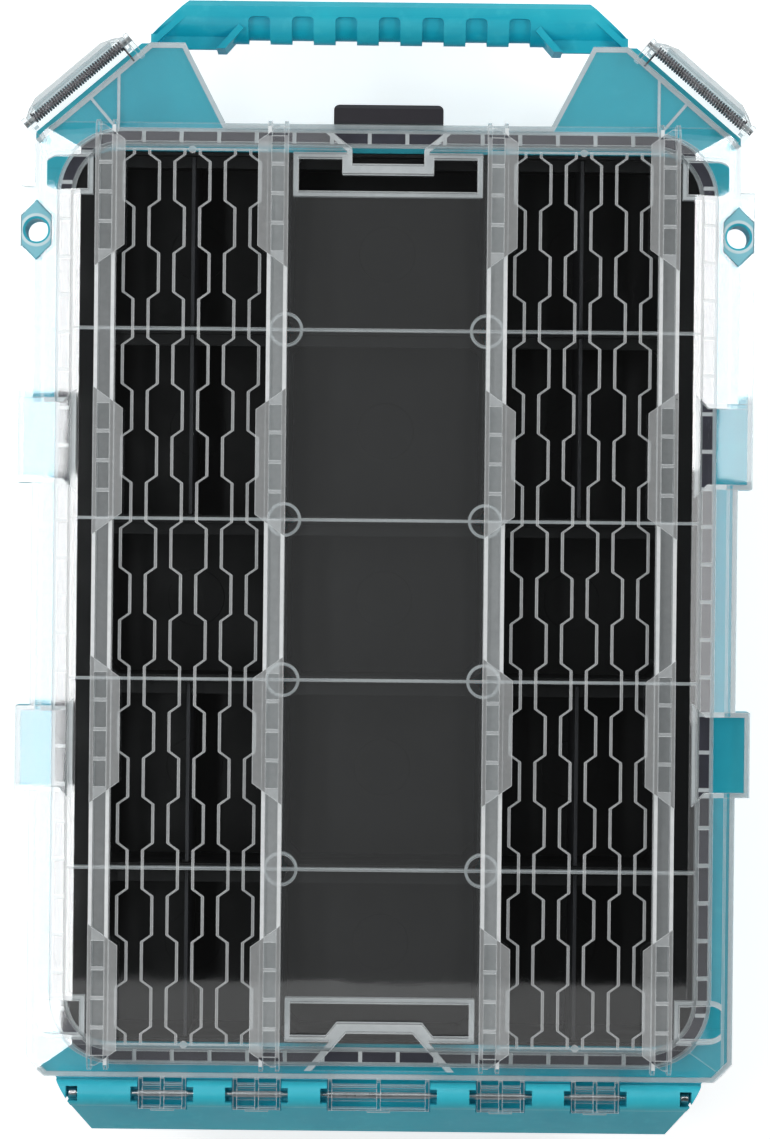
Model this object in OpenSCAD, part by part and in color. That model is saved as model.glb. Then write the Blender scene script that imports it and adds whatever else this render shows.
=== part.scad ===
// Flat tool organizer: a stackable case with a clear hinged lid, fifteen lift-out bins,
// a moulded carry handle, two sprung corner latches and a stacking button.
// X runs across the case, Y from the hinge to the handle, Z up. The origin is on the ground,
// below the middle of the overall length and width.

/* [Bins] */
// Width of the centre column of bins
centre_col_w = 104; // [100:1:108]
// Width of each outer column of bins
outer_col_w = 98; // [94:1:102]
// Width of the shelf on the outer side of an outer bin
shelf_w = 15; // [14:0.5:16]
// Length of the front row of bins
row_1_len = 92.3; // [88:0.1:96]
// Length of the second row
row_2_len = 98.2; // [94:0.1:102]
// Length of the third row
row_3_len = 82.8; // [78:0.1:86]
// Length of the fourth row
row_4_len = 97.9; // [94:0.1:102]
// Length of the rear row
row_5_len = 90.8; // [86:0.1:94]
// Wall of a bin
bin_wall = 1.6; // [1.2:0.1:2]
// Height of the bins over the rim of the base
bin_proud = 3.7; // [3:0.1:3.8]
// Corner radius of a bin
bin_corner_r = 8; // [7.5:0.5:9]
// Corner chamfer inside a bin
bin_chamfer = 7; // [5:0.5:8]
// Depth of the finger ledge at the front of a bin
bin_ledge = 6; // [4:0.5:8]
// Radius of the round boss in the floor of a bin
bin_boss_r = 15; // [12:0.5:18]
// Clearance round each bin
bin_gap = 0.4; // [0.3:0.05:0.6]
// Thickness of a divider
divider_t = 1.8; // [1.4:0.1:2.2]
// Height of a divider
divider_h = 76; // [70:1:78]

/* [Base] */
// Height of the rim of the base over the ground
base_h = 88; // [84:1:94]
// Height of the stacking cleats under the floor
cleat_h = 6; // [5:0.5:6.5]
// Walls and floor of the base
base_wall = 2.7; // [2.2:0.1:3]
// Width of the rim outside the bins at the long sides
side_rim_w = 18.2; // [17.5:0.1:20]
// Width of the rim in front of the bins
front_rim_w = 15; // [14.5:0.1:16]
// Width of the rim behind the bins
rear_rim_w = 18.5; // [18:0.1:20]
// How far the wide parts of the rim reach beyond the long sides
bulge_w = 7.3; // [6.5:0.1:8]
// Thickness of the rim flange
rim_t = 4; // [3:0.25:4.5]
// Height of the down-turned skirt of the rim
skirt_h = 18; // [14:1:22]
// Corner chamfer of the rim at the rear
rear_chamfer = 9.5; // [7:0.5:12]
// Spacing of the gussets between the skirt and the tub
gusset_pitch = 48; // [40:1:60]
// Bore radius of the two eyelets
eyelet_r = 6; // [5:0.25:6.2]
// Width of an eyelet boss
eyelet_w = 15; // [14.6:0.1:15.2]
// Length of an eyelet boss
eyelet_len = 30; // [26:1:34]

/* [Handle] */
// Reach of the handle in front of the lid
handle_reach = 67; // [62:1:70]
// Depth of the bar of the handle from front to back
bar_d = 21.5; // [20:0.5:24]
// Half length of the straight front edge of the handle
bar_half = 105.3; // [102:0.1:110]
// Height of the underside of the handle over the ground
bar_z = 44; // [40:1:50]
// Thickness of the handle from top to bottom
bar_t = 26; // [22:1:30]
// Number of finger pockets
finger_count = 7; // [5:1:7]
// Spacing of the finger pockets
finger_pitch = 22.8; // [18:0.2:23]
// Width of a finger pocket
finger_w = 11.3; // [9:0.1:13]

/* [Lid] */
// Wall of the lid
lid_wall = 2.4; // [2:0.1:2.6]
// Height of the edge of the lid
lid_edge_h = 4; // [3.6:0.1:5]
// Rise of the raised top over the edge of the lid
lid_rise = 11.7; // [10.5:0.1:14]
// Width of the slope at the long sides
side_slope_w = 24.6; // [22:0.1:26]
// Width of the slope at the front
front_slope_w = 14.5; // [13:0.1:14.9]
// Width of the slope at the rear
rear_slope_w = 18; // [16:0.1:18.4]
// Height of the rails on the raised top
rail_h = 7; // [6.6:0.1:8]
// Height of the ladder pads on the raised top
pad_h = 9; // [8.8:0.1:10]
// Width of a rail
rail_w = 10.4; // [9:0.1:11]
// Width of the panel between two rails
panel_w = 78.2; // [74:0.2:80]
// Length of a ladder pad
pad_len = 76; // [70:1:82]
// How far a pad overhangs the panel
pad_over = 4.9; // [4:0.1:5.5]
// Spacing of the rungs of a pad
rung_pitch = 15.2; // [13:0.1:15.8]
// Narrow space between two zigzag ribs
narrow_w = 7.9; // [6:0.1:10]
// Length of one run of a zigzag rib
zig_len = 23.7; // [20:0.1:28]
// Height of the zigzag ribs
zig_h = 1.4; // [0.8:0.1:2]
// Outer radius of the rings over the bin corners
ring_r = 8.8; // [7:0.1:10]
// Width of the gasket
gasket_w = 5.4; // [5:0.1:5.6]
// Height of the gasket
gasket_h = 3.4; // [2.8:0.1:3.5]
// Spacing of the rungs over the gasket
ladder_pitch = 19.5; // [16:0.5:24]

/* [Hinge] */
// Reach of the hinge fairing behind the lid
hinge_reach = 30.5; // [29:0.5:32]
// Radius of the hinge pin
hinge_pin_r = 1.6; // [1.4:0.05:2]
// Length of the hinge pin
hinge_pin_len = 320; // [316:1:322]
// Radius of the barrels of the base
barrel_r = 6.8; // [6:0.1:7]
// Width of the middle knuckle of the lid
knuckle_mid_w = 52.4; // [46:0.2:56]
// Width of the other knuckles
knuckle_w = 24.5; // [22:0.5:26]
// Inner end of the second knuckle from the middle
knuckle_2_x = 51; // [48:0.5:54]
// Inner end of the outer knuckle from the middle
knuckle_3_x = 100; // [96:0.5:104]
// Running clearance of every pin in its bore
pin_play = 0.05; // [0.03:0.01:0.08]

/* [Corner latches] */
// Angle of the corner latches across the corner
latch_angle = 40.6; // [38:0.2:43]
// Length of a latch pin
latch_pin_len = 71; // [69:1:73]
// Radius of a latch pin
latch_pin_r = 1.5; // [1.2:0.05:1.6]
// Wire of the torsion springs
spring_wire = 1; // [0.8:0.05:1.05]
// Curls of a torsion spring
spring_curls = 38; // [30:1:38]
// Spacing of the curls
spring_pitch = 1.55; // [1.5:0.01:1.56]
// Reach of the lever outside its pin
lever_reach = 9.2; // [8.4:0.1:10]
// Drop of the lever below its pin
lever_drop = 38; // [32:1:42]
// Bite of the hook under its ledge
hook_bite = 2.8; // [2:0.1:3.2]

/* [Stacking button] */
// Width of the stacking button
button_w = 56.8; // [50:0.2:60]
// Depth of the stacking button
button_d = 9.7; // [8:0.1:11]
// Height of the stacking button
button_h = 32; // [28:1:36]
// Travel of the stacking button
button_travel = 5; // [4:0.5:6]
// Wire of the spring under the button
button_wire = 0.8; // [0.7:0.05:0.85]
// Curls of the spring under the button
button_curls = 8; // [6:1:8]

/* [Hidden] */

teal = [0.18, 0.64, 0.70];
clear = [0.86, 0.93, 0.95, 0.35];
black = [0.06, 0.06, 0.07];
grey = [0.38, 0.38, 0.40];
steel = [0.75, 0.76, 0.78];

// Overrun of every cut, and how far joined pieces run into each other
over = 1;
weld = 0.4;
// Gap between pieces that seat on each other: across a joint, and inside one body
seat = 0.3;
snug = 0.1;
// Seam between the pieces of the base
seam = 0.05;

// Gasket ring: distances outside the bins, corner radius, lift over the edge of the lid
gasket_side = 4.7;
gasket_front = 10.2;
gasket_rear = 9.5;
gasket_corner_r = 33;
gasket_lift = 0.5;
channel_wall = 1.9;
ladder_t = 1.8;
tongue_w = 1.6;

// Side steps, notches and slots of the lid, measured from the front and rear edges
step_len = 44.2;
step_1_from_front = 143.3;
step_2_from_front = 303.2;
wide_from_front = 33.5;
step_in = 23;
step_flare = 4.5;
step_gap = 0.7;
notch_mouth_w = 68.6;
notch_w = 37.6;
notch_run = 13.5;
notch_end = 21.5;
rear_mouth_w = 78;
rear_notch_w = 34.6;
rear_notch_end = 25;
slot_half_w = 46.5;
slot_len = 17.6;
slot_from_front = 18.1;
slot_from_rear = 22.8;
recess_lip = 0.3;
pocket_in_x = 6;
pocket_out_x = 27;

// Stiffening of the lid
rail_wall = 1.9;
rail_round = 9;
rung_t = 1.9;
pad_slant = 11;
pad_rear_gap = 5;
pad_lip_t = 2.2;
pad_count = 4;
rung_count = 3;
zig_pairs = 3;
zig_t = 1.2;
zig_slant = 3.7;
zig_start = 4.5;
end_rib_t = 0.9;
end_rib_h = 0.7;
ring_t = 1.3;
rib_t = 1.3;

// Front horns over the corner blocks
horn_front = 41.5;
horn_root_x = 84.5;
horn_tip_x = 106;
horn_back = 24;
horn_rib_x = 139.7;
block_z = 44;

// How far the rear rim reaches along the sides of the rear bins
rim_cut = 9;

// Eyelet bosses: distance from the front edge and from the wide edge
eyelet_from_front = 56.5;
eyelet_edge = 0.9;
eyelet_lip = 1.1;

// Corner latches: pin place, and distances inside the pin to the lid, ledge and corner wall
latch_inset_x = 22;
latch_out_y = 20;
latch_to_lid = 7.8;
latch_to_ledge = 4.8;
latch_to_wall = 9.5;
ear_t = 2.4;
ear_r = 3.8;
ear_root = 3.2;
lever_end_t = 2.5;
lever_wall = 2.4;
lever_knee = 8;
lever_top = 1.5;
lever_inner = 3.4;
lever_taper = 10.6;
hook_t = 3;
leg_reach = 10;
leg_seat = 0.6;

// Stacking button and its guide
button_corner_r = 3;
button_proud = 3.7;
button_chamfer = 2;
neck_half_w = 18;
neck_rise = 6;
neck_h = 10;
tongue_plate_t = 2.8;
tongue_half_w = 24;
tongue_below = 2;
foot_half_w = 8;
foot_t = 2.5;
guide_half_w = 42;
guide_below = 8;
guide_shelf_t = 2.5;
spring_space = 12;

// Handle
finger_depth = 2;
finger_front = 8.4;
finger_corner_r = 2.5;
bar_edge = 3;
arm_reach = 19.8;
arm_drop = 18.1;
arm_in = 22.6;
arm_root = 17.6;
arm_root_drop = 19.7;
arm_fin = 3.4;
arm_fin_share = 0.35;
arm_web_drop = 5;

// Hinge
hinge_off = 8.3;
hinge_up = 3.4;
knuckle_back = 7.7;
knuckle_half_h = 4;
knuckle_gap = 0.6;
knuckle_wall = 2;
knuckle_tube_r = 3.2;
knuckle_bar = 5;
knuckle_tab_half = 6;
knuckle_tab = 1.2;
pocket_play = 0.7;
notch_x = 3.4;
pin_notch_half = 3.9;
pin_notch_in = 4;
pin_notch_out = 2;
cap_r = 2.9;
cap_len = 3;
cap_lip = 0.6;
fairing_half = 168.3;
fairing_in = 17.8;
fairing_shoulder = 22;
fairing_drop = 38;

// Cleats under the floor
cleat_len = 50;
cleat_lip_t = 2.6;
cleat_side = 0.8;
cleat_wall = 3;

// Bin details
cavity_r = 24;
bin_ledge_drop = 7;
bin_ledge_t = 1.6;
bin_boss_h = 0.8;
shelf_drop = 0.4;
shelf_lip = 4;
shelf_edge_gap = 0.6;
shelf_gusset_h = 28;
shelf_gusset_shares = [0.2, 0.8];
guide_rib = 1.4;
divider_play = 0.3;

// Places across the case
x_col = centre_col_w / 2;
x_bin = x_col + outer_col_w;
x_in = x_bin + shelf_w;
x_edge = x_in + side_rim_w;
x_wide = x_edge + bulge_w;
x_top = x_edge - side_slope_w;
x_step = x_edge - step_in;
x_panel = x_col + outer_col_w / 2;
x_rail = panel_w / 2;
x_eyelet = x_wide - eyelet_w / 2 - eyelet_edge;
x_latch = x_edge - latch_inset_x;

// Places along the case
rows = [row_1_len, row_2_len, row_3_len, row_4_len, row_5_len];
rows_len = row_1_len + row_2_len + row_3_len + row_4_len + row_5_len;
total_len = handle_reach + front_rim_w + rows_len + rear_rim_w + hinge_reach;
y_back = -total_len / 2;
y_rear = y_back + hinge_reach;
y_in_rear = y_rear + rear_rim_w;
y_in_front = y_in_rear + rows_len;
y_front = y_in_front + front_rim_w;
y_handle = y_front + handle_reach;
y_horn = y_front + horn_front;
y_latch = y_front + latch_out_y;
y_eyelet = y_front - eyelet_from_front;
y_hinge = y_rear - hinge_off;
y_cut_0 = y_in_rear + rim_cut;
y_cut_1 = y_front - horn_back;
y_cavity_0 = y_in_rear - bin_gap;
y_cavity_1 = y_in_front + bin_gap;
x_cavity = x_in + bin_gap;
function row_front(i) = i == 0 ? y_in_front : row_front(i - 1) - rows[i - 1];

// Heights
z_floor = cleat_h + base_wall;
z_ledge = base_h - rim_t;
z_skirt = base_h - skirt_h;
z_lid = base_h + seat;
z_edge = z_lid + lid_edge_h;
z_top = z_edge + lid_rise;
z_rail = z_top + rail_h;
z_pad = z_top + pad_h;
z_bin_0 = z_floor + snug;
z_bin_1 = base_h + bin_proud;
z_rib = z_bin_1 + seat;
z_gasket_0 = z_lid + gasket_lift;
z_gasket_1 = z_gasket_0 + gasket_h;
z_step = z_gasket_1 + step_gap + lid_wall;
z_hinge = base_h + hinge_up;

// Torsion spring and latch pin
coil_r = latch_pin_r + seat + spring_wire / 2;
z_latch = z_edge + coil_r + spring_wire / 2 + seat;
ear_0 = latch_pin_len / 2 - ear_t;
lever_half = ear_0 - seat;
lever_in = coil_r + spring_wire / 2 + seat;

// Stacking button
button_y = y_front + seat;
button_z1 = z_edge + button_proud;
button_z0 = button_z1 - button_h;
neck_z0 = button_z0 + neck_rise;
foot_z = neck_z0 - tongue_below;
shelf_z = foot_z - spring_space;
tongue_y = y_front - base_wall - seat;
foot_back_y = y_cavity_1 + base_wall + seat;
button_spring_y = (foot_back_y + tongue_y) / 2;
button_coil_r = 2.3;

// Pads
pad_y0 = y_rear + pad_rear_gap;
pad_pitch = (y_front - pad_y0 - pad_len) / (pad_count - 1);

module mirrored() {
    children();
    mirror([1, 0, 0]) children();
}

module slab(z0, z1) {
    translate([0, 0, z0]) linear_extrude(z1 - z0) children();
}

module along_x(x0, x1) {
    translate([x0, 0, 0]) rotate([90, 0, 90]) linear_extrude(x1 - x0) children();
}

module along_y(y0, y1) {
    translate([0, y1, 0]) rotate([90, 0, 0]) linear_extrude(y1 - y0) children();
}

module rod_x(x0, x1, y, z, r) {
    translate([x0, y, z]) rotate([0, 90, 0]) cylinder(h = x1 - x0, r = r, $fn = 48);
}

module rect(x0, x1, y0, y1) {
    translate([x0, y0]) square([x1 - x0, y1 - y0]);
}

module block(x0, x1, y0, y1, z0, z1) {
    translate([x0, y0, z0]) cube([x1 - x0, y1 - y0, z1 - z0]);
}

module round_rect(x0, x1, y0, y1, r) {
    rect(x0 + r, x1 - r, y0, y1);
    rect(x0, x1, y0 + r, y1 - r);
    for (x = [x0 + r, x1 - r], y = [y0 + r, y1 - r])
        translate([x, y]) circle(r, $fn = 64);
}

// Outline shared by the rim of the base and the lid

horn_slope = (horn_tip_x - horn_root_x) / horn_front;
horn_k = sqrt(1 + horn_slope * horn_slope);
chamfer_k = 2 - sqrt(2);

// Frame of the right corner latch: X along its pin, Y outward
module at_corner() {
    translate([x_latch, y_latch]) rotate(-latch_angle) children();
}

// Everything that lies at least this far inside both latch pins
module inside_corners(distance) {
    big = total_len;
    intersection() {
        at_corner() rect(-big, big, -2 * big, -distance);
        mirror([1, 0]) at_corner() rect(-big, big, -2 * big, -distance);
    }
}

module horn_2d(inset) {
    polygon([
        [horn_root_x + inset * horn_k - horn_slope * horn_back, y_front - horn_back],
        [horn_tip_x + inset * horn_k - horn_slope * inset, y_horn - inset],
        [x_edge - inset, y_horn - inset],
        [x_edge - inset, y_front - horn_back]
    ]);
}

module side_step_rects(grow) {
    for (d = [step_1_from_front, step_2_from_front])
        rect(x_step - grow, x_wide + grow, y_front - d - step_len - grow, y_front - d + grow);
}

// Flared inner corners of the two side steps
module step_flares(grow) {
    x0 = x_step - grow;
    for (d = [step_1_from_front, step_2_from_front]) {
        y0 = y_front - d - step_len - grow;
        y1 = y_front - d + grow;
        polygon([[x0, y0 - step_flare], [x0, y1 + step_flare], [x0 + step_flare, y1],
            [x0 + step_flare, y0]]);
    }
}

module plan_2d(inset, corner) {
    c = rear_chamfer - inset * chamfer_k;
    intersection() {
        union() {
            polygon([
                [-x_edge + inset, y_front - inset], [x_edge - inset, y_front - inset],
                [x_edge - inset, y_rear + inset + c], [x_edge - inset - c, y_rear + inset],
                [-x_edge + inset + c, y_rear + inset], [-x_edge + inset, y_rear + inset + c]
            ]);
            mirrored() {
                side_step_rects(-inset);
                rect(0, x_wide - inset, y_front - step_1_from_front - step_len + inset,
                    y_front - wide_from_front - inset);
                horn_2d(inset);
            }
        }
        inside_corners(corner + inset);
    }
}

// Rounded ring outline that follows the gasket, moved outward by grow
module gasket_2d(grow) {
    round_rect(-x_in - gasket_side - grow, x_in + gasket_side + grow,
        y_in_rear - gasket_rear - grow, y_in_front + gasket_front + grow, gasket_corner_r + grow);
}

module gasket_ring_2d(inner, outer) {
    difference() {
        gasket_2d(outer);
        gasket_2d(inner);
    }
}

module eyelet_2d(grow) {
    w = eyelet_w / 2 + grow;
    l = eyelet_len / 2 + grow;
    translate([x_eyelet, y_eyelet])
        polygon([[0, l], [w, l / 2], [w, -l / 2], [0, -l], [-w, -l / 2], [-w, l / 2]]);
}

function knuckles() = [
    [-knuckle_mid_w / 2, knuckle_mid_w / 2],
    [knuckle_2_x, knuckle_2_x + knuckle_w], [-knuckle_2_x - knuckle_w, -knuckle_2_x],
    [knuckle_3_x, knuckle_3_x + knuckle_w], [-knuckle_3_x - knuckle_w, -knuckle_3_x]
];

// Base: a tub, the four sides of the rim round it, two corner blocks and the carry handle

module tub_2d(grow) {
    side = base_wall + grow;
    round_rect(-x_cavity - side, x_cavity + side, y_cavity_0 - side, y_cavity_1 + side,
        cavity_r + side);
}

// Low ridge that the gasket is pressed on, partly on the tub and partly on the rim
module sealing_ridge() {
    mid = -gasket_w / 2;
    top = z_gasket_0 - snug;
    slab(base_h + seam, top) gasket_ring_2d(mid - tongue_w / 2, mid + tongue_w / 2);
    slab(base_h - weld, top) intersection() {
        gasket_ring_2d(mid - tongue_w / 2, mid + tongue_w / 2);
        tub_2d(0);
    }
}

module rim() {
    slab(z_ledge, base_h) plan_2d(0, latch_to_ledge);
    slab(z_skirt, z_ledge + weld) difference() {
        plan_2d(0, latch_to_wall);
        plan_2d(base_wall, latch_to_wall);
    }
}

module gussets() {
    first = y_rear + gusset_pitch / 2;
    mirrored() {
        for (y = [first:gusset_pitch:y_front - horn_back - gusset_pitch / 2])
            block(x_cavity + weld, x_edge - weld, y, y + base_wall, z_skirt, z_ledge + weld);
        for (x = [knuckle_2_x:gusset_pitch:x_in - gusset_pitch / 2]) {
            block(x, x + base_wall, y_rear + weld, y_cavity_0 - weld, z_skirt, z_ledge + weld);
            block(x, x + base_wall, y_cavity_1 + weld, y_front - weld, z_skirt, z_ledge + weld);
        }
    }
}

module corner_blocks() {
    slab(block_z, z_skirt + weld) mirrored() difference() {
        intersection() {
            horn_2d(0);
            inside_corners(latch_to_wall);
        }
        intersection() {
            horn_2d(base_wall);
            inside_corners(latch_to_wall + base_wall);
        }
    }
}

// Side view of the handle bar: chamfered in front, half round behind
module bar_2d(inset) {
    r = bar_t / 2;
    y_mid = y_handle - bar_d + r;
    translate([y_mid, bar_z + r]) circle(r - inset, $fn = 96);
    polygon([
        [y_mid, bar_z + inset], [y_handle - bar_edge, bar_z + inset],
        [y_handle - inset, bar_z + bar_edge], [y_handle - inset, bar_z + bar_t - bar_edge],
        [y_handle - bar_edge, bar_z + bar_t - inset], [y_mid, bar_z + bar_t - inset]
    ]);
}

// Strip of the given width on the right of the line from p to q
module strip_2d(p, q, width) {
    d = (q - p) / norm(q - p);
    n = width * [d[1], -d[0]];
    polygon([p, p + n, q + n, q]);
}

module finger_pocket() {
    half = finger_w / 2;
    y1 = y_handle - finger_front;
    r = finger_corner_r;
    intersection() {
        along_x(-half, half) difference() {
            bar_2d(-over);
            bar_2d(finger_depth);
        }
        slab(bar_z - over * 2, bar_z + bar_t + over * 2) {
            rect(-half, half, y_handle - bar_d - over * 2, y1 - r);
            rect(-half + r, half - r, y_handle - bar_d - over * 2, y1);
            for (x = [-half + r, half - r]) translate([x, y1 - r]) circle(r, $fn = 32);
        }
    }
}

module handle() {
    bar_in = y_handle - bar_d;
    z0 = bar_z;
    z1 = bar_z + bar_t;
    web_top = z1 - arm_web_drop;
    outer_end = [bar_half + arm_reach, y_handle - arm_drop];
    inner = [bar_half - arm_in, bar_in];
    root = [arm_root, -arm_root_drop];
    deep = base_wall * 2;
    difference() {
        intersection() {
            along_x(-outer_end[0], outer_end[0]) bar_2d(0);
            slab(z0, z1) mirrored() polygon([[-over, y_handle], [bar_half, y_handle], outer_end,
                [outer_end[0], bar_in], [-over, bar_in]]);
        }
        for (i = [0:finger_count - 1])
            translate([(i - (finger_count - 1) / 2) * finger_pitch, 0, 0]) finger_pocket();
    }
    mirrored() {
        slab(web_top - base_wall, web_top) polygon([
            inner + [base_wall / 2, bar_t / 2], outer_end - [arm_fin / 2, 0],
            [outer_end[0] - arm_fin / 2, y_horn - deep], inner + root + [deep, -deep / 2],
            inner + root + [base_wall / 2, 0], inner + [base_wall / 2, 0]
        ]);
        slab(z0, z1) {
            strip_2d(outer_end - [0, base_wall], [bar_half, y_handle - bar_edge], -arm_fin);
            strip_2d(inner - arm_fin_share * root, inner + root, -arm_fin);
            rect(outer_end[0] - arm_fin, outer_end[0], y_horn - deep, outer_end[1]);
        }
    }
}

module fairing_plan(inset) {
    half = fairing_half - inset * sqrt(2);
    tip = half - fairing_in;
    polygon([[-half, y_rear + over], [-half, y_rear], [-tip, y_back], [tip, y_back],
        [half, y_rear], [half, y_rear + over]]);
}

module fairing_profile() {
    polygon([
        [y_rear + over, base_h - fairing_drop], [y_rear + over, base_h],
        [y_hinge + barrel_r, base_h], [y_hinge + barrel_r, z_hinge],
        [y_hinge - barrel_r, z_hinge], [y_back, base_h - fairing_shoulder],
        [y_back, base_h - fairing_drop]
    ]);
}

module fairing_hollow() {
    top = z_hinge - swing_r - pocket_play - base_wall;
    polygon([
        [y_rear - over, base_h - fairing_drop - over], [y_rear - over, top],
        [y_hinge - barrel_r - base_wall / 2, top],
        [y_back + base_wall, base_h - fairing_shoulder - weld],
        [y_back + base_wall, base_h - fairing_drop - over]
    ]);
}

swing_r = norm([knuckle_back, knuckle_half_h]);

module hinge_fairing() {
    difference() {
        intersection() {
            along_x(-fairing_half, fairing_half) fairing_profile();
            slab(0, z_top) fairing_plan(0);
        }
        intersection() {
            along_x(-fairing_half, fairing_half) fairing_hollow();
            slab(-over, z_top) fairing_plan(base_wall);
        }
    }
    intersection() {
        rod_x(-fairing_half, fairing_half, y_hinge, z_hinge, barrel_r);
        slab(0, z_top) fairing_plan(0);
    }
    mid = (knuckle_2_x + knuckle_w + knuckle_3_x) / 2;
    for (x = [mid, mid - gusset_pitch, mid + gusset_pitch])
        mirrored() along_x(x - base_wall / 2, x + base_wall / 2) fairing_profile();
}

module knuckle_pockets() {
    r = swing_r + pocket_play;
    for (k = knuckles()) {
        rod_x(k[0] - knuckle_gap, k[1] + knuckle_gap, y_hinge, z_hinge, r);
        block(k[0] - knuckle_gap, k[1] + knuckle_gap, y_hinge - r, y_rear, z_hinge, z_top);
        for (x = [k[0] - knuckle_gap - notch_x, k[1] + knuckle_gap - weld])
            block(x, x + notch_x + weld, y_hinge - pin_notch_half, y_hinge + pin_notch_half,
                z_hinge - pin_notch_half + snug, z_top);
    }
    mirrored() block(hinge_pin_len / 2 - pin_notch_in, hinge_pin_len / 2 + pin_notch_out,
        y_hinge - pin_notch_half, y_hinge + pin_notch_half,
        z_hinge - pin_notch_half + snug, z_top);
    rod_x(-x_edge, x_edge, y_hinge, z_hinge, hinge_pin_r + pin_play);
}

module button_guide() {
    block(-guide_half_w, guide_half_w, y_front - base_wall, y_front,
        button_z0 - guide_below, z_ledge + weld);
    block(-foot_half_w - base_wall, foot_half_w + base_wall, y_cavity_1 + weld, y_front - weld,
        shelf_z - guide_shelf_t, shelf_z);
    for (x = [-guide_half_w, guide_half_w - base_wall])
        block(x, x + base_wall, y_cavity_1 + weld, y_front - weld, button_z0 - guide_below,
            z_ledge + weld);
}

module cleats() {
    for (i = [0:pad_count - 1])
        mirrored() translate([x_panel, pad_y0 + pad_len / 2 + i * pad_pitch]) {
            lip = x_rail - cleat_side;
            neck = x_rail - pad_over - cleat_side;
            l = cleat_len / 2;
            difference() {
                union() {
                    block(-lip, lip, -l, l, 0, cleat_lip_t);
                    block(-neck, neck, -l, l, 0, cleat_h + weld);
                }
                for (s = [-1, 1])
                    block(min(s * cleat_wall / 2, s * (neck - cleat_wall)),
                        max(s * cleat_wall / 2, s * (neck - cleat_wall)),
                        -l + cleat_wall, l - cleat_wall, -over, cleat_h);
            }
        }
}

module base_shell() {
    color(teal) difference() {
        union() {
            slab(cleat_h, base_h) tub_2d(0);
            cleats();
            sealing_ridge();
        }
        slab(z_floor, z_top)
            round_rect(-x_cavity, x_cavity, y_cavity_0, y_cavity_1, cavity_r);
    }
}

// The rim between two places along the case, with what else it carries there
module rim_part(y0, y1) {
    intersection() {
        difference() {
            union() {
                rim();
                gussets();
                children();
            }
            slab(0, z_lid) tub_2d(seam);
        }
        block(-x_wide, x_wide, y0, y1, 0, z_top);
    }
}

module rim_front() {
    color(teal) difference() {
        rim_part(y_cut_1 + seam, y_front) {
            corner_blocks();
            button_guide();
        }
        block(-neck_half_w - seat, neck_half_w + seat, y_front - base_wall - over, y_front + over,
            neck_z0 - button_travel - seat, neck_z0 + neck_h + seat);
    }
}

module rim_rear() {
    color(teal) difference() {
        rim_part(y_back, y_cut_0) hinge_fairing();
        knuckle_pockets();
    }
}

module rim_right() {
    color(teal) difference() {
        intersection() {
            rim_part(y_cut_0 + seam, y_cut_1) slab(z_skirt, z_edge + over) eyelet_2d(0);
            block(x_bin, x_wide, y_cut_0, y_cut_1, 0, z_top);
        }
        translate([x_eyelet, y_eyelet, z_skirt]) {
            cylinder(h = z_edge + over * 2 - z_skirt, r = eyelet_r, $fn = 64);
            translate([0, 0, z_edge + over - eyelet_lip - z_skirt])
                cylinder(h = eyelet_lip + over, r1 = eyelet_r, r2 = eyelet_r + eyelet_lip + over,
                    $fn = 64);
        }
    }
}

module corner_block_right() {
    color(teal) intersection() {
        rim_part(y_front + seam, y_horn) corner_blocks();
        block(0, x_wide, y_front, y_horn, 0, z_top);
    }
}

module carry_handle() {
    color(teal) difference() {
        handle();
        block(-x_wide, x_wide, y_front, y_horn + seam, 0, z_lid);
    }
}

// Lid

// Raised top, run into the edge below it
module lid_dome() {
    z0 = z_edge - weld;
    intersection() {
        along_y(y_rear, y_front) polygon([[-x_edge, z0], [x_edge, z0], [x_edge, z_edge],
            [x_top, z_top], [-x_top, z_top], [-x_edge, z_edge]]);
        along_x(-x_edge, x_edge) polygon([[y_rear, z0], [y_front, z0], [y_front, z_edge],
            [y_front - front_slope_w, z_top], [y_rear + rear_slope_w, z_top], [y_rear, z_edge]]);
    }
}

module lid_outer() {
    slab(z_lid, z_edge) plan_2d(0, latch_to_lid);
    intersection() {
        lid_dome();
        slab(z_lid, z_top + over) plan_2d(0, latch_to_lid);
    }
    slab(z_lid, z_step) mirrored() side_step_rects(0);
}

module lid_inner() {
    intersection() {
        translate([0, 0, -lid_wall]) union() {
            slab(z_lid - over, z_edge + snug) plan_2d(0, 0);
            lid_dome();
        }
        slab(z_lid - lid_wall - over, z_top + over) plan_2d(lid_wall, latch_to_lid);
    }
    slab(z_lid - over, z_step - lid_wall) mirrored() side_step_rects(-lid_wall);
}

// Outlines of the flat-floored recesses in the raised top
module front_notch_2d(grow) {
    k = grow * sqrt(2);
    polygon([
        [-notch_mouth_w / 2 - k, y_front], [notch_mouth_w / 2 + k, y_front],
        [notch_w / 2 + grow, y_front - notch_run - grow / 2],
        [notch_w / 2 + grow, y_front - notch_end - grow],
        [-notch_w / 2 - grow, y_front - notch_end - grow],
        [-notch_w / 2 - grow, y_front - notch_run - grow / 2]
    ]);
}

module rear_notch_2d(grow) {
    k = grow * sqrt(2);
    polygon([
        [-rear_mouth_w / 2 - k, y_rear], [-rear_notch_w / 2 - grow, y_rear + rear_notch_end + grow],
        [rear_notch_w / 2 + grow, y_rear + rear_notch_end + grow], [rear_mouth_w / 2 + k, y_rear]
    ]);
}

module slots_2d(grow) {
    for (y = [y_front - slot_from_front - slot_len, y_rear + slot_from_rear])
        difference() {
            rect(-slot_half_w - grow, slot_half_w + grow, y - grow, y + slot_len + grow);
            front_notch_2d(lid_wall * 2 - grow);
            rear_notch_2d(lid_wall * 2 - grow);
        }
}

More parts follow.
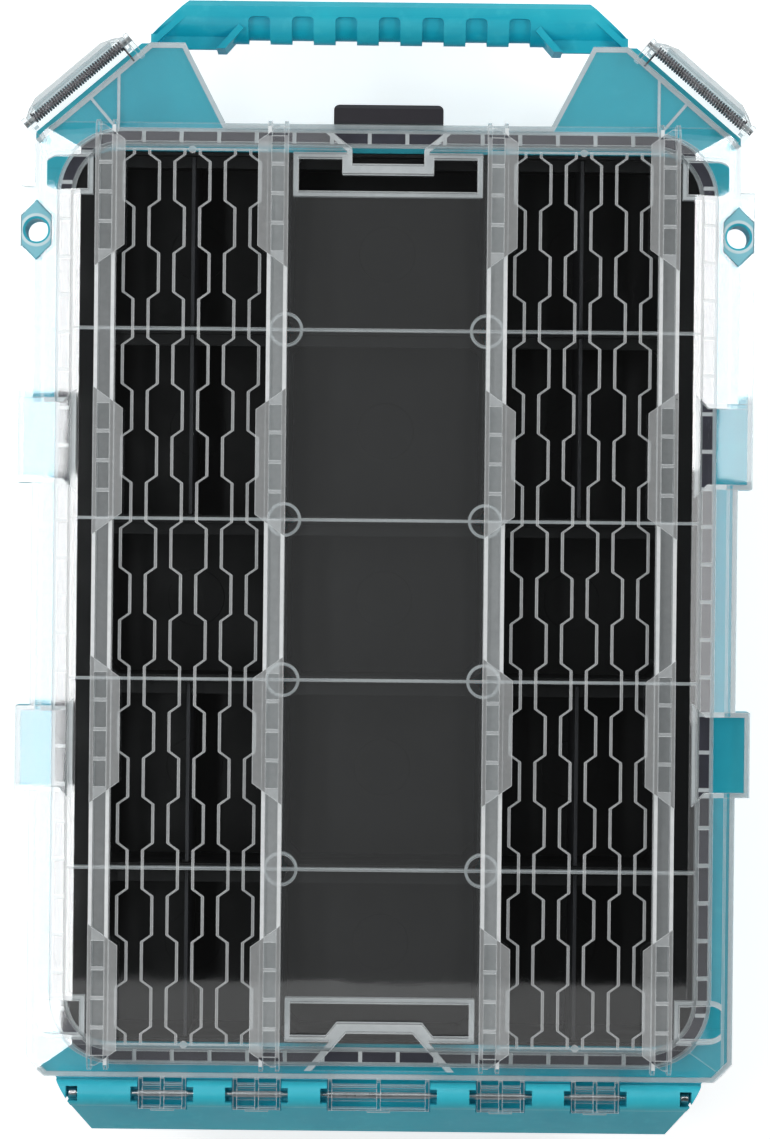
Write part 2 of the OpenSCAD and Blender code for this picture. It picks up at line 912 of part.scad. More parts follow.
module corner_pockets_2d(grow) {
    r = slot_len / 2;
    for (y = [y_front - slot_from_front - r, y_rear + slot_from_rear + r])
        translate([0, y]) {
            rect(x_top - pocket_in_x + lid_wall - grow, x_top - pocket_in_x + pocket_out_x - r,
                -r - grow, r + grow);
            translate([x_top - pocket_in_x + pocket_out_x - r, 0]) circle(r + grow, $fn = 48);
        }
}

module recesses_2d(grow) {
    mirrored() {
        side_step_rects(grow - lid_wall);
        step_flares(grow - lid_wall);
    }
    front_notch_2d(grow);
    rear_notch_2d(grow);
    slots_2d(grow);
    mirrored() corner_pockets_2d(grow);
}

module ladder() {
    half = gasket_w / 2;
    mid_x = x_in + gasket_side - half;
    mid_f = y_in_front + gasket_front - half;
    mid_r = y_in_rear - gasket_rear + half;
    n_y = floor((y_in_front - gasket_corner_r - y_in_rear) / ladder_pitch);
    n_x = floor((2 * (x_in - gasket_corner_r)) / ladder_pitch);
    y_mid = (y_in_front + y_in_rear) / 2;
    for (i = [0:n_y])
        mirrored() translate([mid_x, y_mid + (i - n_y / 2) * ladder_pitch])
            square([gasket_w + over, ladder_t], center = true);
    for (i = [0:n_x], y = [mid_f, mid_r])
        translate([(i - n_x / 2) * ladder_pitch, y])
            square([ladder_t, gasket_w + over], center = true);
}

module lid_internals() {
    slab(z_lid + seat, z_top) {
        gasket_ring_2d(snug, channel_wall);
        gasket_ring_2d(-gasket_w - channel_wall, -gasket_w - snug);
    }
    slab(z_gasket_1 + snug, z_top) ladder();
    slab(z_step - lid_wall, z_top) recesses_2d(lid_wall);
    slab(z_step - lid_wall - recess_lip, z_step) difference() {
        recesses_2d(lid_wall);
        recesses_2d(0);
    }
    for (i = [1:len(rows) - 1]) {
        y = row_front(i);
        slab(z_rib, z_top - weld)
            rect(-x_in - gasket_side + gasket_w, x_in + gasket_side - gasket_w, y - rib_t / 2,
                y + rib_t / 2);
        slab(z_rib, z_top - weld) mirrored() translate([x_col, y]) difference() {
            circle(ring_r, $fn = 48);
            circle(ring_r - ring_t, $fn = 48);
        }
    }
    slab(z_lid + seat, z_edge) mirrored() difference() {
        union() {
            rect(horn_rib_x, horn_rib_x + rib_t, y_front - horn_back / 2, y_horn);
            at_corner() rect(-rib_t / 2, rib_t / 2, -latch_to_lid - horn_back, -latch_to_lid);
        }
        gasket_2d(channel_wall / 2);
    }
}

// One zigzag rib: half its distance from the middle of its pair switches at each run
function zig_path(x, side) = let (
    pitch = panel_w / zig_pairs,
    near = narrow_w / 2,
    far = pitch / 2 - near,
    n = floor((y_in_front - zig_start - y_in_rear) / zig_len)
) concat(
    [[x + side * near, y_in_front]],
    [for (k = [0:n], e = [0, 1])
        [x + side * ((k + e) % 2 == 0 ? near : far),
            y_in_front - zig_start - k * zig_len + (e == 0 ? zig_slant / 2 : -zig_slant / 2)]],
    [[x + side * ((n + 1) % 2 == 0 ? near : far), y_in_rear]]
);

module zig_rib(x, side) {
    path = zig_path(x, side);
    n = len(path);
    polygon(concat(
        [for (p = path) [p[0] + zig_t / 2, p[1]]],
        [for (i = [n - 1:-1:0]) [path[i][0] - zig_t / 2, path[i][1]]]
    ));
}

// Thin rib across each end of a panel, with a round boss at its middle
module panel_ends() {
    slab(z_top - lid_wall / 2, z_top + end_rib_h)
        for (m = [-1, 1], y = [y_in_front, y_in_rear]) translate([m * x_panel, y]) {
            rect(-x_rail - weld, x_rail + weld, -end_rib_t / 2, end_rib_t / 2);
            circle(end_rib_t * 2, $fn = 24);
        }
}

module hex_panels() {
    pitch = panel_w / zig_pairs;
    slab(z_top - lid_wall / 2, z_top + zig_h) intersection() {
        for (m = [-1, 1], i = [0:zig_pairs - 1], side = [-1, 1])
            zig_rib(m * x_panel + (i - (zig_pairs - 1) / 2) * pitch, side);
        rect(-x_top, x_top, y_rear + rear_slope_w, y_front - front_slope_w);
    }
}

// Both rails and their pads beside one panel, drawn for the outer side
module beside_panels() {
    for (m = [-1, 1]) translate([m * x_panel, 0]) mirrored() children();
}

// Everything between the rounded ends of the rails
module rail_ends() {
    r = rail_round;
    along_x(-x_edge, x_edge) {
        rect(pad_y0, y_front, z_lid, z_pad - r);
        rect(pad_y0 + r, y_front - r, z_lid, z_pad);
        for (y = [pad_y0 + r, y_front - r]) translate([y, z_pad - r]) circle(r, $fn = 64);
    }
}

module rails() {
    intersection() {
        slab(z_edge - weld, z_rail) beside_panels() {
            rect(x_rail, x_rail + rail_wall, pad_y0, y_front);
            rect(x_rail + rail_w - rail_wall, x_rail + rail_w, pad_y0, y_front);
        }
        rail_ends();
    }
}

module pad_frame_2d() {
    tip = x_rail - pad_over;
    for (i = [0:pad_count - 1]) translate([0, pad_y0 + i * pad_pitch]) difference() {
        polygon([[x_rail + rail_w, 0], [tip, pad_slant], [tip, pad_len - pad_slant],
            [x_rail + rail_w, pad_len]]);
        for (j = [0:rung_count]) translate([0, pad_len / 2 + (j - rung_count / 2) * rung_pitch])
            rect(x_rail + rail_wall, x_rail + rail_w - rail_wall,
                -(rung_pitch - rung_t) / 2, (rung_pitch - rung_t) / 2);
    }
}

module lid_knuckles() {
    top = z_hinge + knuckle_half_h;
    bottom = z_hinge - knuckle_half_h;
    back = y_hinge - knuckle_back;
    for (k = knuckles()) {
        mid = (k[0] + k[1]) / 2;
        for (x = [k[0], k[1] - knuckle_wall, mid - knuckle_wall / 2])
            along_x(x, x + knuckle_wall) polygon([
                [y_rear + weld, z_lid + weld], [y_rear + weld, top], [back, top], [back, bottom],
                [y_hinge + knuckle_half_h, bottom]
            ]);
        rod_x(k[0] + weld, k[1] - weld, y_hinge, z_hinge, knuckle_tube_r);
        block(k[0] + weld, k[1] - weld, y_hinge + knuckle_bar - rib_t / 2,
            y_hinge + knuckle_bar + rib_t / 2, z_lid + weld, top);
        block(k[0] + weld, k[1] - weld, back, back + rib_t, bottom, top - weld);
        block(mid - knuckle_tab_half, mid + knuckle_tab_half, back - knuckle_tab, back + weld,
            z_hinge - rib_t, z_hinge + rib_t);
    }
}

module latch_ears() {
    mirrored() at_corner() for (x = [-latch_pin_len / 2, ear_0]) {
        rod_x(x, x + ear_t, 0, z_latch, ear_r);
        block(x, x + ear_t, -latch_to_lid - ear_root, 0, z_lid + seat * 2, z_latch + lever_top);
    }
}

module lid_shell() {
    color(clear) difference() {
        union() {
            difference() {
                union() {
                    lid_outer();
                    rails();
                }
                lid_inner();
            }
            intersection() {
                lid_outer();
                lid_internals();
            }
            hex_panels();
            panel_ends();
            intersection() {
                slab(z_pad - pad_lip_t, z_pad) beside_panels() pad_frame_2d();
                rail_ends();
            }
            lid_knuckles();
            latch_ears();
        }
        slab(z_step, z_rail - weld * 2) recess_cuts_2d();
        slab(z_lid - over, z_pad + over) mirrored() eyelet_2d(seat * 2);
        rod_x(-x_edge, x_edge, y_hinge, z_hinge, hinge_pin_r + pin_play);
        mirrored() at_corner()
            rod_x(-latch_pin_len, latch_pin_len, 0, z_latch, latch_pin_r + pin_play);
    }
}

// Recesses, kept clear of the rails that stand beside them
module recess_cuts_2d() {
    difference() {
        union() {
            recesses_2d(0);
            mirrored() for (d = [step_1_from_front, step_2_from_front])
                rect(x_wide - lid_wall * 2, x_wide + over, y_front - d - step_len + lid_wall,
                    y_front - d - lid_wall);
            rect(-notch_mouth_w / 2, notch_mouth_w / 2, y_front - snug, y_front + over);
            rect(-rear_mouth_w / 2, rear_mouth_w / 2, y_rear - over, y_rear + snug);
        }
        beside_panels() rect(x_rail, x_rail + rail_w, pad_y0, y_front);
    }
}

module lid_gasket() {
    color(grey) slab(z_gasket_0, z_gasket_1) gasket_ring_2d(-gasket_w, 0);
}

// Hinge pin

module hinge_pin() {
    color(steel) rod_x(-hinge_pin_len / 2, hinge_pin_len / 2, y_hinge, z_hinge, hinge_pin_r);
}

module hinge_pin_caps() {
    end = hinge_pin_len / 2;
    color(steel) mirrored() difference() {
        rod_x(end - cap_len, end + cap_lip, y_hinge, z_hinge, cap_r);
        rod_x(end - cap_len - over, end, y_hinge, z_hinge, hinge_pin_r + pin_play);
    }
}

// Corner latches, drawn in the frame of the right latch

module latch_lever() {
    top = z_latch + lever_top;
    hook_top = z_ledge - seat;
    plate_in = lever_reach - lever_wall;
    end_1 = lever_half;
    end_0 = end_1 - lever_end_t;
    color(clear) difference() {
        intersection() {
            union() {
                along_x(-end_1, end_1) polygon([
                    [lever_in, top], [lever_in + lever_wall, top],
                    [lever_reach, z_latch - lever_knee], [lever_reach, z_latch - lever_drop],
                    [plate_in, z_latch - lever_drop], [plate_in, z_latch - lever_knee]
                ]);
                block(-end_1, end_1, -latch_to_ledge - hook_bite, plate_in + weld,
                    hook_top - hook_t, hook_top);
                for (x = [-end_1, end_0]) {
                    along_x(x, x + lever_end_t) polygon([
                        [-lever_inner, z_latch], [lever_in + weld, top],
                        [plate_in + weld, z_latch - lever_knee], [plate_in + weld, hook_top - hook_t],
                        [-lever_inner, hook_top - hook_t]
                    ]);
                    rod_x(x, x + lever_end_t, 0, z_latch, ear_r);
                }
            }
            slab(z_latch - lever_drop - over, z_latch + ear_r + over) polygon([
                [-end_1, -latch_to_wall], [end_1, -latch_to_wall], [end_1, lever_in - seat],
                [end_1 - lever_taper, lever_reach], [-end_1 + lever_taper, lever_reach],
                [-end_1, lever_in - seat]
            ]);
        }
        rod_x(-latch_pin_len, latch_pin_len, 0, z_latch, latch_pin_r + pin_play);
    }
}

module latch_pin() {
    color(steel) rod_x(-latch_pin_len / 2, latch_pin_len / 2, 0, z_latch, latch_pin_r);
}

// Wound wire: a leg in, curls about X, a leg out. Each ring is [centre, radial direction, side]
rings_per_curl = 8;
wire_sides = 6;

function coil_point(r, pitch, a) = [pitch * a / 360, r * sin(a), -r * cos(a)];
function coil_ring(r, pitch, a) = let (
    radial = [0, sin(a), -cos(a)],
    along = [pitch / (2 * PI * r), cos(a), sin(a)],
    side = cross(along, radial) / norm(along)
) [coil_point(r, pitch, a), radial, side];
function leg_ring(x, y, r) = [[x, y, -r], [0, 0, -1], [-1, 0, 0]];

function coil_rings(r, pitch, curls, leg_in, leg_out) = concat(
    [leg_ring(0, -leg_in, r), leg_ring(0, -leg_in / 2, r)],
    [for (i = [0:curls * rings_per_curl]) coil_ring(r, pitch, 360 * i / rings_per_curl)],
    [leg_ring(curls * pitch, leg_out / 2, r), leg_ring(curls * pitch, leg_out, r)]
);

module wire(rings, wire_r) {
    n = len(rings);
    m = wire_sides;
    points = [for (g = rings, j = [0:m - 1])
        g[0] + wire_r * (cos(360 * j / m) * g[1] + sin(360 * j / m) * g[2])];
    sides = [for (i = [0:n - 2], j = [0:m - 1]) let (
        a = i * m + j, b = i * m + (j + 1) % m, c = a + m, d = b + m
    ) each [[a, b, d], [a, d, c]]];
    ends = concat(
        [for (j = [1:m - 2]) [0, j + 1, j]],
        [for (j = [1:m - 2]) [(n - 1) * m, (n - 1) * m + j, (n - 1) * m + j + 1]]
    );
    polyhedron(points, concat(sides, ends));
}

function least_gap(rings, wire_r) = let (n = len(rings)) min(
    [for (i = [0:n - 5], j = [i + 4:min(n - 1, i + 2 * rings_per_curl)])
        norm(rings[i][0] - rings[j][0])]) - 2 * wire_r;

module latch_spring() {
    leg_out = lever_in + (lever_reach - lever_wall - lever_in) * (coil_r + lever_top)
        / (lever_knee + lever_top) - leg_seat;
    rings = coil_rings(coil_r, spring_pitch, spring_curls, leg_reach, leg_out);
    echo("latch spring, least gap to itself", least_gap(rings, spring_wire / 2));
    color(steel) translate([-spring_curls * spring_pitch / 2, 0, z_latch])
        wire(rings, spring_wire / 2);
}

// Stacking button

module stack_button() {
    r = button_corner_r;
    h = button_w / 2;
    y1 = button_y + button_d;
    z1 = button_z1;
    color(black) union() {
        intersection() {
            slab(button_z0, z1) {
                rect(-h, h, button_y, y1 - r);
                rect(-h + r, h - r, button_y, y1);
                for (x = [-h + r, h - r]) translate([x, y1 - r]) circle(r, $fn = 32);
            }
            along_x(-h, h) polygon([
                [button_y, button_z0], [y1, button_z0 + button_chamfer],
                [y1, z1 - button_chamfer], [y1 - button_chamfer, z1], [button_y, z1]
            ]);
        }
        block(-neck_half_w, neck_half_w, tongue_y - weld, button_y + weld, neck_z0, neck_z0 + neck_h);
        block(-tongue_half_w, tongue_half_w, tongue_y - tongue_plate_t, tongue_y, foot_z,
            neck_z0 + neck_h + tongue_below);
        block(-foot_half_w, foot_half_w, foot_back_y, tongue_y - weld, foot_z, foot_z + foot_t);
    }
}

module stack_button_spring() {
    pitch = (spring_space - 2 * snug - button_wire) / button_curls;
    lead = button_wire;
    rings = coil_rings(button_coil_r, pitch, button_curls, lead, lead);
    echo("button spring, least gap to itself", least_gap(rings, button_wire / 2));
    color(steel) translate([0, button_spring_y, shelf_z + snug + button_wire / 2])
        rotate([0, -90, 0]) wire(rings, button_wire / 2);
}

// Bins

module bin_body(x0, x1, y0, y1) {
    t = bin_wall;
    c = bin_chamfer;
    ledge_z = z_bin_1 - bin_ledge_drop;
    difference() {
        slab(z_bin_0, z_bin_1) round_rect(x0, x1, y0, y1, bin_corner_r);
        slab(z_bin_0 + t, z_bin_1 + over) polygon([
            [x0 + t + c, y0 + t], [x1 - t - c, y0 + t], [x1 - t, y0 + t + c],
            [x1 - t, y1 - t - c], [x1 - t - c, y1 - t], [x0 + t + c, y1 - t],
            [x0 + t, y1 - t - c], [x0 + t, y0 + t + c]
        ]);
    }
    block(x0 + t - weld, x1 - t + weld, y1 - t - bin_ledge, y1 - t + weld, ledge_z,
        ledge_z + bin_ledge_t);
    translate([(x0 + x1) / 2, (y0 + y1) / 2, z_bin_0 + t - weld])
        cylinder(h = bin_boss_h + weld, r = bin_boss_r, $fn = 64);
}

function bin_y0(i) = row_front(i) - rows[i] + bin_gap;
function bin_y1(i) = row_front(i) - bin_gap;

module centre_bin(i) {
    color(black) bin_body(-x_col + bin_gap, x_col - bin_gap, bin_y0(i), bin_y1(i));
}

// The shelf of an outer bin closes the space to the side wall of the tub
module bin_shelf(i) {
    y0 = bin_y0(i);
    y1 = bin_y1(i);
    x0 = x_bin - bin_gap - weld;
    x1 = x_in - shelf_edge_gap;
    top = base_h - shelf_drop;
    intersection() {
        union() {
            block(x0, x1, y0, y1, top - bin_wall, top);
            block(x1 - bin_wall, x1, y0, y1, top - shelf_lip, top);
            for (s = shelf_gusset_shares) let (y = y0 + s * (y1 - y0)) along_y(y, y + bin_wall)
                polygon([[x0, top - weld], [x1 - weld, top - weld], [x1 - weld, top - shelf_lip],
                    [x0, top - shelf_gusset_h]]);
        }
        slab(0, z_top) round_rect(-x_in, x_in, y_in_rear, y_in_front, cavity_r);
    }
}

module divider_guides(i) {
    half = divider_t / 2 + divider_play;
    t = bin_wall;
    z1 = z_bin_1 - bin_ledge_drop - seat;
    for (x = [x_panel - half - guide_rib, x_panel + half]) {
        block(x, x + guide_rib, bin_y0(i) + t - weld, bin_y0(i) + t + guide_rib, z_bin_0 + t, z1);
        block(x, x + guide_rib, bin_y1(i) - t - guide_rib, bin_y1(i) - t + weld, z_bin_0 + t, z1);
    }
}

module outer_bin(i) {
    color(black) difference() {
        union() {
            bin_body(x_col + bin_gap, x_bin - bin_gap, bin_y0(i), bin_y1(i));
            bin_shelf(i);
            if (i != 2) divider_guides(i);
        }
        if (i != 2)
            block(x_panel - divider_t / 2 - divider_play, x_panel + divider_t / 2 + divider_play,
                bin_y1(i) - bin_wall - bin_ledge - over, bin_y1(i) - bin_wall,
                z_bin_1 - bin_ledge_drop - over, z_bin_1 - bin_ledge_drop + bin_ledge_t + over);
    }
}

module divider(i) {
    z0 = z_bin_0 + bin_wall + bin_boss_h + snug;
    color(grey) block(x_panel - divider_t / 2, x_panel + divider_t / 2,
        bin_y0(i) + bin_wall + divider_play, bin_y1(i) - bin_wall - divider_play, z0, z0 + divider_h);
}

base_shell();
rim_front();
rim_rear();
mirror([1, 0, 0]) rim_right();  // rim_left
rim_right();
mirror([1, 0, 0]) corner_block_right();  // corner_block_left
corner_block_right();
carry_handle();
lid_shell();
lid_gasket();
hinge_pin();
hinge_pin_caps();
mirror([1, 0, 0]) at_corner() latch_lever();  // latch_lever_left
at_corner() latch_lever();  // latch_lever_right
mirror([1, 0, 0]) at_corner() latch_pin();  // latch_pin_left
at_corner() latch_pin();  // latch_pin_right
mirror([1, 0, 0]) at_corner() latch_spring();  // latch_spring_left
at_corner() latch_spring();  // latch_spring_right
stack_button();
stack_button_spring();
mirror([1, 0, 0]) outer_bin(0);  // bin_1_left
centre_bin(0);  // bin_1_centre
outer_bin(0);  // bin_1_right
mirror([1, 0, 0]) outer_bin(1);  // bin_2_left
centre_bin(1);  // bin_2_centre
outer_bin(1);  // bin_2_right
mirror([1, 0, 0]) outer_bin(2);  // bin_3_left
centre_bin(2);  // bin_3_centre
outer_bin(2);  // bin_3_right
mirror([1, 0, 0]) outer_bin(3);  // bin_4_left
centre_bin(3);  // bin_4_centre
outer_bin(3);  // bin_4_right
mirror([1, 0, 0]) outer_bin(4);  // bin_5_left
centre_bin(4);  // bin_5_centre
outer_bin(4);  // bin_5_right
mirror([1, 0, 0]) divider(0);  // divider_1_left
divider(0);  // divider_1_right
mirror([1, 0, 0]) divider(1);  // divider_2_left
divider(1);  // divider_2_right
mirror([1, 0, 0]) divider(3);  // divider_4_left
divider(3);  // divider_4_right
mirror([1, 0, 0]) divider(4);  // divider_5_left
divider(4);  // divider_5_right
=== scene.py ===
import math

import bpy
from mathutils import Matrix, Vector


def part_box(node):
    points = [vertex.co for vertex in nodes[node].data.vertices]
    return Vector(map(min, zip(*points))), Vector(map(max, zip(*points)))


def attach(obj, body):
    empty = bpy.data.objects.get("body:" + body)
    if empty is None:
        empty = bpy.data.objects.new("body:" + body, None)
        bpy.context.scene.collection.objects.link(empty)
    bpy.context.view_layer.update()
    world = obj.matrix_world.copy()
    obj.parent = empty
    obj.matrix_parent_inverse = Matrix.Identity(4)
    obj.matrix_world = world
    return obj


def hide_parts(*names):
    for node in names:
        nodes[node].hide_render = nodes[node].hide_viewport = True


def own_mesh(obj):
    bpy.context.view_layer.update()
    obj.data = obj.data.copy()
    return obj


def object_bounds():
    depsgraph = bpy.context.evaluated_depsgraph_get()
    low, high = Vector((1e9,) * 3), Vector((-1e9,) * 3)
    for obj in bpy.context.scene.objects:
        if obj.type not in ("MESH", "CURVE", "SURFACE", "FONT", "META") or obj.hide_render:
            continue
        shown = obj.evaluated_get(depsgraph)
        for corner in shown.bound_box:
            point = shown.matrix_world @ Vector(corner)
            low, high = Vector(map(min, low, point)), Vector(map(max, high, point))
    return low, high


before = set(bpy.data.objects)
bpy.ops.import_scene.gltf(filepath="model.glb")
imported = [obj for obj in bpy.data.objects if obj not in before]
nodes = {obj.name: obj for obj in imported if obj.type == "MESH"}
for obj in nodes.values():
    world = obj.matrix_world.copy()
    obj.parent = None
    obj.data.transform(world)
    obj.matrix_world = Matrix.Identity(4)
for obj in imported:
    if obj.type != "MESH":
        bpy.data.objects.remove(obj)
cad_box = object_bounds()

MM = 0.001
WHITE = (1.0, 1.0, 1.0, 1.0)

scene = bpy.context.scene
scene.view_settings.view_transform = "Standard"


# Camera: straight above the case, a long way off, as in the photograph

SEEN_HEIGHT = 0.5877
SENSOR = 36.0
LID_TOP = 0.104
CAMERA_DISTANCE = 2.1
CAMERA_SHIFT = (0.0005, -0.0013)
CAMERA_TURN = math.radians(0.6)
FAR_CLIP = 50.0

camera_data = bpy.data.cameras.new("camera")
camera = bpy.data.objects.new("camera", camera_data)
scene.collection.objects.link(camera)
camera_data.sensor_fit = "VERTICAL"
camera_data.sensor_height = SENSOR
camera_data.lens = SENSOR * CAMERA_DISTANCE / SEEN_HEIGHT
camera_data.clip_end = FAR_CLIP
camera.location = (*CAMERA_SHIFT, LID_TOP + CAMERA_DISTANCE)
camera.rotation_euler = (0.0, 0.0, CAMERA_TURN)
scene.camera = camera


# Node helpers

LEVEL_SLACK = 0.05


class Nodes:
    """The node tree of a material or world, with short calls for the nodes that repeat."""

    def __init__(self, owner):
        owner.use_nodes = True
        self.tree = owner.node_tree
        self.tree.nodes.clear()
        self.coords = self.add("ShaderNodeTexCoord")

    def set(self, socket, value):
        if isinstance(value, bpy.types.NodeSocket):
            self.tree.links.new(value, socket)
        else:
            socket.default_value = value

    def add(self, kind, inputs=None, **props):
        node = self.tree.nodes.new(kind)
        for key, value in props.items():
            setattr(node, key, value)
        for key, value in (inputs or {}).items():
            self.set(node.inputs[key], value)
        return node

    def shader(self, kind, **inputs):
        """A shader node; its inputs are named with _ for each space."""
        spaced = {key.replace("_", " "): value for key, value in inputs.items()}
        return self.add(kind, spaced).outputs[0]

    def math(self, operation, *values, clamp=False):
        return self.add("ShaderNodeMath", dict(enumerate(values)), operation=operation,
                        use_clamp=clamp).outputs[0]

    def ramp(self, value, low, high, out_low=0.0, out_high=1.0):
        """From out_low to out_high as the value goes from low to high, and no further."""
        return self.add("ShaderNodeMapRange",
                        {0: value, 1: low, 2: high, 3: out_low, 4: out_high},
                        clamp=True).outputs[0]

    def largest(self, values):
        total = values[0]
        for value in values[1:]:
            total = self.math("MAXIMUM", total, value)
        return total

    def mix(self, factor, a, b):
        return self.add("ShaderNodeMixShader", {0: factor, 1: a, 2: b}).outputs[0]

    def ray_is(self, *kinds):
        """1 for rays of these kinds."""
        path_node = self.add("ShaderNodeLightPath")
        return self.largest([path_node.outputs[kind] for kind in kinds])

    def close(self, output_kind, shader):
        self.add(output_kind, {"Surface": shader})


class Shader(Nodes):
    """A material, with its own height, facing, noise, colours and bumps."""

    def __init__(self, name):
        self.material = bpy.data.materials.new(name)
        super().__init__(self.material)
        self.geometry = self.add("ShaderNodeNewGeometry")
        place = self.add("ShaderNodeSeparateXYZ", {0: self.coords.outputs["Object"]})
        normal = self.add("ShaderNodeSeparateXYZ", {0: self.geometry.outputs["Normal"]})
        self.x, self.y, self.z = place.outputs
        outward = self.math("MULTIPLY_ADD", self.geometry.outputs["Backfacing"], -2.0, 1.0)
        self.up = self.math("MULTIPLY", normal.outputs[2], outward)

    def noise(self, scale, detail=2.0, roughness=0.5, distortion=0.0):
        return self.add("ShaderNodeTexNoise", {
            "Vector": self.coords.outputs["Object"], "Scale": scale, "Detail": detail,
            "Roughness": roughness, "Distortion": distortion}).outputs["Fac"]

    def mix_colour(self, factor, a, b):
        node = self.add("ShaderNodeMix", {"Factor": factor}, data_type="RGBA")
        self.set(node.inputs[6], a)
        self.set(node.inputs[7], b)
        return node.outputs[2]

    def bump(self, height, depth, strength, normal=None):
        """A bump of this depth in millimetres."""
        inputs = {"Height": height, "Distance": depth * MM, "Strength": strength}
        if normal is not None:
            inputs["Normal"] = normal
        return self.add("ShaderNodeBump", inputs).outputs[0]

    def bevel(self, radius, samples):
        """The normal with edges rounded to this radius in millimetres."""
        return self.add("ShaderNodeBevel", {"Radius": radius * MM}, samples=samples).outputs[0]

    def level(self, height):
        """1 on faces at this height in millimetres."""
        return self.math("COMPARE", self.z, height * MM, LEVEL_SLACK * MM)

    def within(self, distance, reach, soft, strength):
        """This strength where a distance is under the reach, both ends in millimetres."""
        return self.ramp(distance, (reach + soft) * MM, (reach - soft) * MM, 0.0, strength)

    def finish(self, shader):
        self.close("ShaderNodeOutputMaterial", shader)
        return self.material


def linear(r, g, b):
    """Scene colour of an 8-bit sRGB colour."""
    def one(v):
        v /= 255
        return v / 12.92 if v <= 0.04045 else ((v + 0.055) / 1.055) ** 2.4
    return (one(r), one(g), one(b), 1.0)


# Opaque materials

# Radii of the painted highlight round each eyelet: a ring, and a fainter face about it
EYELET_X, EYELET_Y = 182.1, 173.0
EYELET_RING = 8.6
EYELET_RING_SOFT = 0.3
EYELET_FACE = 14.75
EYELET_FACE_SOFT = 0.25


def painted_eyelet_highlight(s):
    """A painted highlight: a pale ring round each eyelet, and a fainter painted reflection on
    the face about it.
    """
    off_x = s.math("SUBTRACT", s.math("ABSOLUTE", s.x), EYELET_X * MM)
    off_y = s.math("SUBTRACT", s.y, EYELET_Y * MM)
    away = s.math("SQRT", s.math("ADD", s.math("POWER", off_x, 2.0),
                                 s.math("POWER", off_y, 2.0)))
    near = s.math("ADD", s.within(away, EYELET_RING, EYELET_RING_SOFT, 0.55),
                  s.within(away, EYELET_FACE, EYELET_FACE_SOFT, 0.3))
    return s.math("MULTIPLY", near, s.math("GREATER_THAN", s.up, 0.9))


def moulded(name, base, light, dark, roughness, edge_highlight_strength=0.35, shine=0.5, eyelet_highlight_colour=None):
    """Moulded plastic: soft cloudy colour, fine grain, rounded edges with a painted highlight
    that makes them slightly paler, and a painted highlight of this colour round the eyelets."""
    s = Shader(name)
    cloud = s.noise(scale=14.0, detail=4.0, roughness=0.6, distortion=0.4)
    mottle = s.noise(scale=120.0, detail=3.0, roughness=0.6)
    colour = s.mix_colour(s.ramp(cloud, 0.35, 0.65), dark, base)
    colour = s.mix_colour(s.ramp(mottle, 0.55, 0.8, 0.0, 0.35), colour, light)
    # Painted highlight: convex edges turn paler, towards the light colour
    painted_edge_highlight = s.ramp(s.geometry.outputs["Pointiness"], 0.52, 0.6, 0.0, edge_highlight_strength)
    colour = s.mix_colour(painted_edge_highlight, colour, light)
    # Painted highlight round each eyelet
    if eyelet_highlight_colour:
        colour = s.mix_colour(painted_eyelet_highlight(s), colour, eyelet_highlight_colour)
    grain = s.noise(scale=2200.0, roughness=0.6)
    return s.finish(s.shader(
        "ShaderNodeBsdfPrincipled", Base_Color=colour, Specular_IOR_Level=shine, IOR=1.5,
        Roughness=s.ramp(s.noise(scale=40.0, detail=3.0, roughness=0.6), 0.3, 0.7,
                         roughness - 0.05, roughness + 0.07),
        Normal=s.bump(grain, 0.03, 0.6, s.bevel(0.35, samples=4))))


def rubber(name, dark, light):
    """Matt rubber with a slight bloom."""
    s = Shader(name)
    cloud = s.noise(scale=60.0, detail=3.0, roughness=0.6)
    return s.finish(s.shader(
        "ShaderNodeBsdfPrincipled", Sheen_Weight=0.15,
        Base_Color=s.mix_colour(s.ramp(cloud, 0.35, 0.7), dark, light),
        Roughness=s.ramp(cloud, 0.3, 0.7, 0.62, 0.78),
        Normal=s.bump(s.noise(scale=1500.0), 0.04, 0.5)))


def steel(name, base, light, roughness):
    """Drawn steel, a little clouded."""
    s = Shader(name)
    cloud = s.noise(scale=90.0, detail=4.0, roughness=0.65)
    return s.finish(s.shader(
        "ShaderNodeBsdfPrincipled", Metallic=1.0,
        Base_Color=s.mix_colour(s.ramp(cloud, 0.3, 0.7), base, light),
        Roughness=s.ramp(cloud, 0.3, 0.7, roughness - 0.06, roughness + 0.08),
        Normal=s.bump(s.noise(scale=3000.0), 0.01, 0.5)))


# The teal's last colour is a painted highlight round each eyelet
teal = moulded("teal_plastic", linear(22, 184, 206), linear(84, 212, 226),
               linear(16, 168, 194), roughness=0.36, eyelet_highlight_colour=linear(225, 240, 243))
# Each moulded plastic's paler edges are a painted highlight
black_bin = moulded("black_bin_plastic", linear(6, 6, 7), linear(22, 22, 24),
                    linear(3, 3, 4), roughness=0.45, edge_highlight_strength=0.2, shine=0.3)
black_button = moulded("black_button_plastic", linear(21, 20, 26), linear(44, 42, 51),
                       linear(15, 14, 19), roughness=0.46)
grey_divider = moulded("grey_divider_plastic", linear(36, 36, 39), linear(60, 60, 65),
                       linear(28, 28, 31), roughness=0.42, edge_highlight_strength=0.2)
gasket_rubber = rubber("gasket_rubber", linear(52, 50, 60), linear(66, 64, 76))
pin_steel = steel("pin_steel", (0.42, 0.43, 0.44, 1.0), (0.6, 0.61, 0.62, 1.0), roughness=0.3)
cap_steel = steel("cap_steel", (0.5, 0.51, 0.52, 1.0), (0.66, 0.67, 0.68, 1.0), roughness=0.28)
spring_steel = steel("spring_steel", (0.07, 0.07, 0.08, 1.0), (0.2, 0.2, 0.22, 1.0),
                     roughness=0.22)


# Clear plastic: what is behind it shows, its surfaces mirror the lamps, and the ends of its
# ribs and walls, seen through their height, are pale with a painted highlight

CLEAR_MIRROR = 0.05
EDGE_WIDTH = 0.5
STRETCH_SOFT = 0.4


